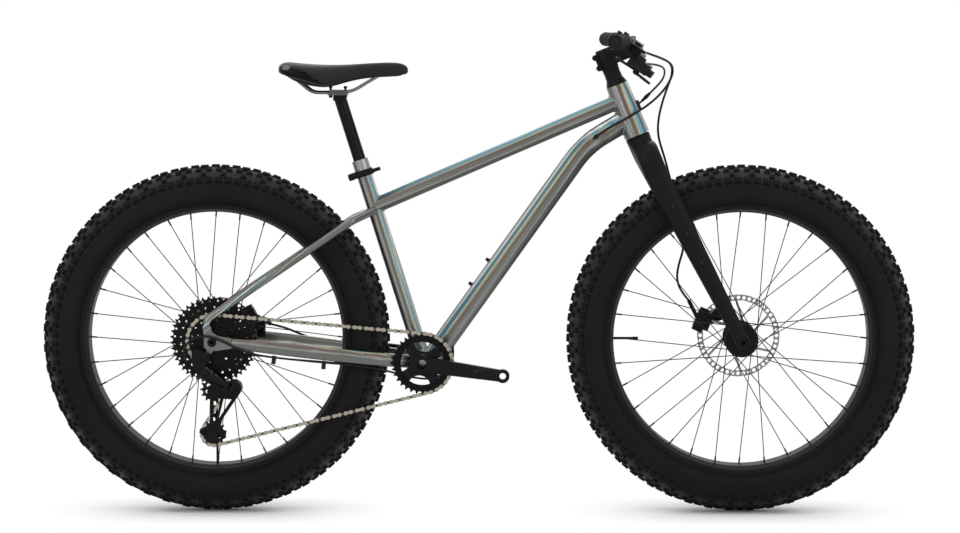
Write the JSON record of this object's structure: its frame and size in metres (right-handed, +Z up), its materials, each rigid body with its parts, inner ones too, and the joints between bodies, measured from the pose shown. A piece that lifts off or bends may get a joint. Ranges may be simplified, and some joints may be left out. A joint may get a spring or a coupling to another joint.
{
  "type": "fat tire bike",
  "caption": "Rigid bicycle with very wide knobbly tyres, shiny metal frame, riser bar, disc brakes and a chain drive with rear derailleur; ridden on snow, sand and trails.",
  "frame": {"origin": "on the ground, midway between the wheel axles, in the plane of the frame", "axes": "+X forward, +Y to the rider's left, +Z up; the drive side faces -Y"},
  "size_m": [1.892, 0.7608, 1.0423],
  "materials": {
    "tyre": "moulded black rubber",
    "rim": "satin black",
    "spokes": "black",
    "black_alloy": "anodised black",
    "gloss_black": "gloss black",
    "fork_black": "satin black",
    "frame_chrome": "glossy with a shifting rainbow tint",
    "silver": "brushed",
    "steel": "ground",
    "chain_steel": "oiled",
    "cassette_steel": "blackened",
    "grip": "matte",
    "saddle": "matte black",
    "plastic": "matte",
    "cord": "satin"
  },
  "bodies": {
    "frame": {"head_tube": "frame_chrome", "top_tube": "frame_chrome", "down_tube": "frame_chrome", "seat_tube": "frame_chrome", "bottom_bracket_shell": "frame_chrome", "chainstays": "frame_chrome", "seatstays": "frame_chrome", "dropout_right": "frame_chrome", "dropout_left": "frame_chrome", "headset_bearings": "steel", "bottom_bracket_cups": "black_alloy", "rear_axle": "black_alloy", "seat_clamp": "black_alloy", "rear_brake_caliper": "black_alloy", "rear_brake_hose": "cord", "shift_housing": "cord", "frame_fittings": "black_alloy", "derailleur_upper_knuckle": "black_alloy", "chain": "chain_steel"},
    "steering": {"fork_crown": "fork_black", "fork_legs": "fork_black", "headset_spacers": "black_alloy", "stem": "black_alloy", "stem_faceplate": "black_alloy", "steering_bolts": "silver", "handlebar": "black_alloy", "grips": "grip", "brake_masters": "black_alloy", "shifter_body": "plastic", "front_axle": "black_alloy", "front_brake_caliper": "black_alloy", "front_brake_hose": "cord"},
    "front_wheel": {"front_tyre": "tyre", "front_rim": "rim", "front_spokes": "spokes", "front_hub": "black_alloy", "front_rotor": "steel"},
    "rear_wheel": {"rear_tyre": "tyre", "rear_rim": "rim", "rear_spokes": "spokes", "rear_hub": "black_alloy", "rear_rotor": "steel"},
    "cassette_body": {"cassette": "cassette_steel"},
    "crank": {"crank_arms": "black_alloy", "chainring": "black_alloy"},
    "lever_right": {"brake_lever_right": "black_alloy"},
    "lever_left": {"brake_lever_left": "black_alloy"},
    "thumb_lever": {"shift_thumb_lever": "plastic"},
    "release_lever": {"shift_release_lever": "plastic"},
    "saddle_post": {"seatpost": "gloss_black", "seatpost_clamp": "black_alloy", "saddle": "saddle", "saddle_base": "plastic"},
    "clamp_lever": {"seat_clamp_lever": "black_alloy"},
    "link_outer": {"derailleur_outer_link": "black_alloy"},
    "link_inner": {"derailleur_inner_link": "black_alloy"},
    "knuckle_lower": {"derailleur_lower_knuckle": "black_alloy"},
    "cage": {"derailleur_cage": "black_alloy"},
    "pulley_guide": {"guide_pulley": "plastic"},
    "pulley_tension": {"tension_pulley": "plastic"}
  },
  "joints": [
    {"name": "steer", "type": "hinge", "parent": "frame", "child": "steering", "pos_m": [0.32167, 0, 0.87097], "axis": [-0.3746, 0, 0.9272], "range_deg": [-60, 60], "deforming": ["rear_brake_hose", "shift_housing"]},
    {"name": "front_wheel_spin", "type": "hinge", "parent": "steering", "child": "front_wheel", "pos_m": [0.5685, 0, 0.3775], "axis": [0, 1, 0], "continuous": true},
    {"name": "rear_wheel_spin", "type": "hinge", "parent": "frame", "child": "rear_wheel", "pos_m": [-0.5685, 0, 0.3775], "axis": [0, 1, 0], "continuous": true},
    {"name": "crank_turn", "type": "hinge", "parent": "frame", "child": "crank", "pos_m": [-0.11906, 0, 0.3295], "axis": [0, 1, 0], "continuous": true, "deforming": ["chain"]},
    {"name": "cassette_spin", "type": "hinge", "parent": "frame", "child": "cassette_body", "pos_m": [-0.5685, 0, 0.3775], "axis": [0, 1, 0], "continuous": true},
    {"name": "brake_pull_right", "type": "hinge", "parent": "steering", "child": "lever_right", "pos_m": [0.34117, -0.24476, 0.99658], "axis": [-0.5712, 0.0912, -0.8157], "range_deg": [0, 20], "stiffness_Nm_per_rad": 1.5, "springref_deg": -11.46},
    {"name": "brake_pull_left", "type": "hinge", "parent": "steering", "child": "lever_left", "pos_m": [0.34117, 0.24476, 0.99658], "axis": [0.5712, 0.0912, 0.8157], "range_deg": [0, 20], "stiffness_Nm_per_rad": 1.5, "springref_deg": -11.46},
    {"name": "shift_thumb", "type": "hinge", "parent": "steering", "child": "thumb_lever", "pos_m": [0.33367, -0.19911, 0.9579], "axis": [0.5712, -0.0912, 0.8157], "range_deg": [0, 25], "stiffness_Nm_per_rad": 0.4, "springref_deg": -8.59},
    {"name": "shift_release", "type": "hinge", "parent": "steering", "child": "release_lever", "pos_m": [0.33367, -0.19911, 0.9579], "axis": [-0.5712, 0.0912, -0.8157], "range_deg": [0, 15], "stiffness_Nm_per_rad": 0.4, "springref_deg": -8.59},
    {"name": "seatpost_slide", "type": "slide", "parent": "frame", "child": "saddle_post", "axis": [-0.3007, 0, 0.9537], "range_m": [-0.12, 0.12]},
    {"name": "seat_clamp_open", "type": "hinge", "parent": "frame", "child": "clamp_lever", "pos_m": [-0.27291, -0.029, 0.72766], "axis": [0.3007, 0, -0.9537], "range_deg": [0, 150]},
    {"name": "derailleur_shift", "type": "hinge", "parent": "frame", "child": "link_outer", "pos_m": [-0.578, -0.119, 0.31], "axis": [0.388, 0.5686, 0.7254], "range_deg": [-35, 22], "stiffness_Nm_per_rad": 3, "deforming": ["chain"]},
    {"name": "derailleur_inner", "type": "hinge", "parent": "frame", "child": "link_inner", "pos_m": [-0.58095, -0.10995, 0.30449], "axis": [0.388, 0.5686, 0.7254], "range_deg": [-35, 22]},
    {"name": "derailleur_level", "type": "hinge", "parent": "link_outer", "child": "knuckle_lower", "pos_m": [-0.535, -0.119, 0.287], "axis": [0.388, 0.5686, 0.7254], "range_deg": [-22, 35]},
    {"name": "cage_swing", "type": "hinge", "parent": "knuckle_lower", "child": "cage", "pos_m": [-0.522, -0.084, 0.279], "axis": [0, -1, 0], "range_deg": [-28, 17.6]},
    {"name": "guide_pulley_spin", "type": "hinge", "parent": "cage", "child": "pulley_guide", "pos_m": [-0.56954, -0.0706, 0.27199], "axis": [0, 1, 0], "continuous": true},
    {"name": "tension_pulley_spin", "type": "hinge", "parent": "cage", "child": "pulley_tension", "pos_m": [-0.56956, -0.0706, 0.17699], "axis": [0, 1, 0], "continuous": true}
  ],
  "couplings": [
    {"joint": "cassette_spin", "follows": "crank_turn", "ratio": 1.1429},
    {"joint": "guide_pulley_spin", "follows": "crank_turn", "ratio": -2.4615},
    {"joint": "tension_pulley_spin", "follows": "crank_turn", "ratio": 2.4615},
    {"joint": "derailleur_inner", "follows": "derailleur_shift", "ratio": 1},
    {"joint": "derailleur_level", "follows": "derailleur_shift", "ratio": -1},
    {"joint": "cage_swing", "follows": "derailleur_shift", "ratio": 0.8}
  ]
}
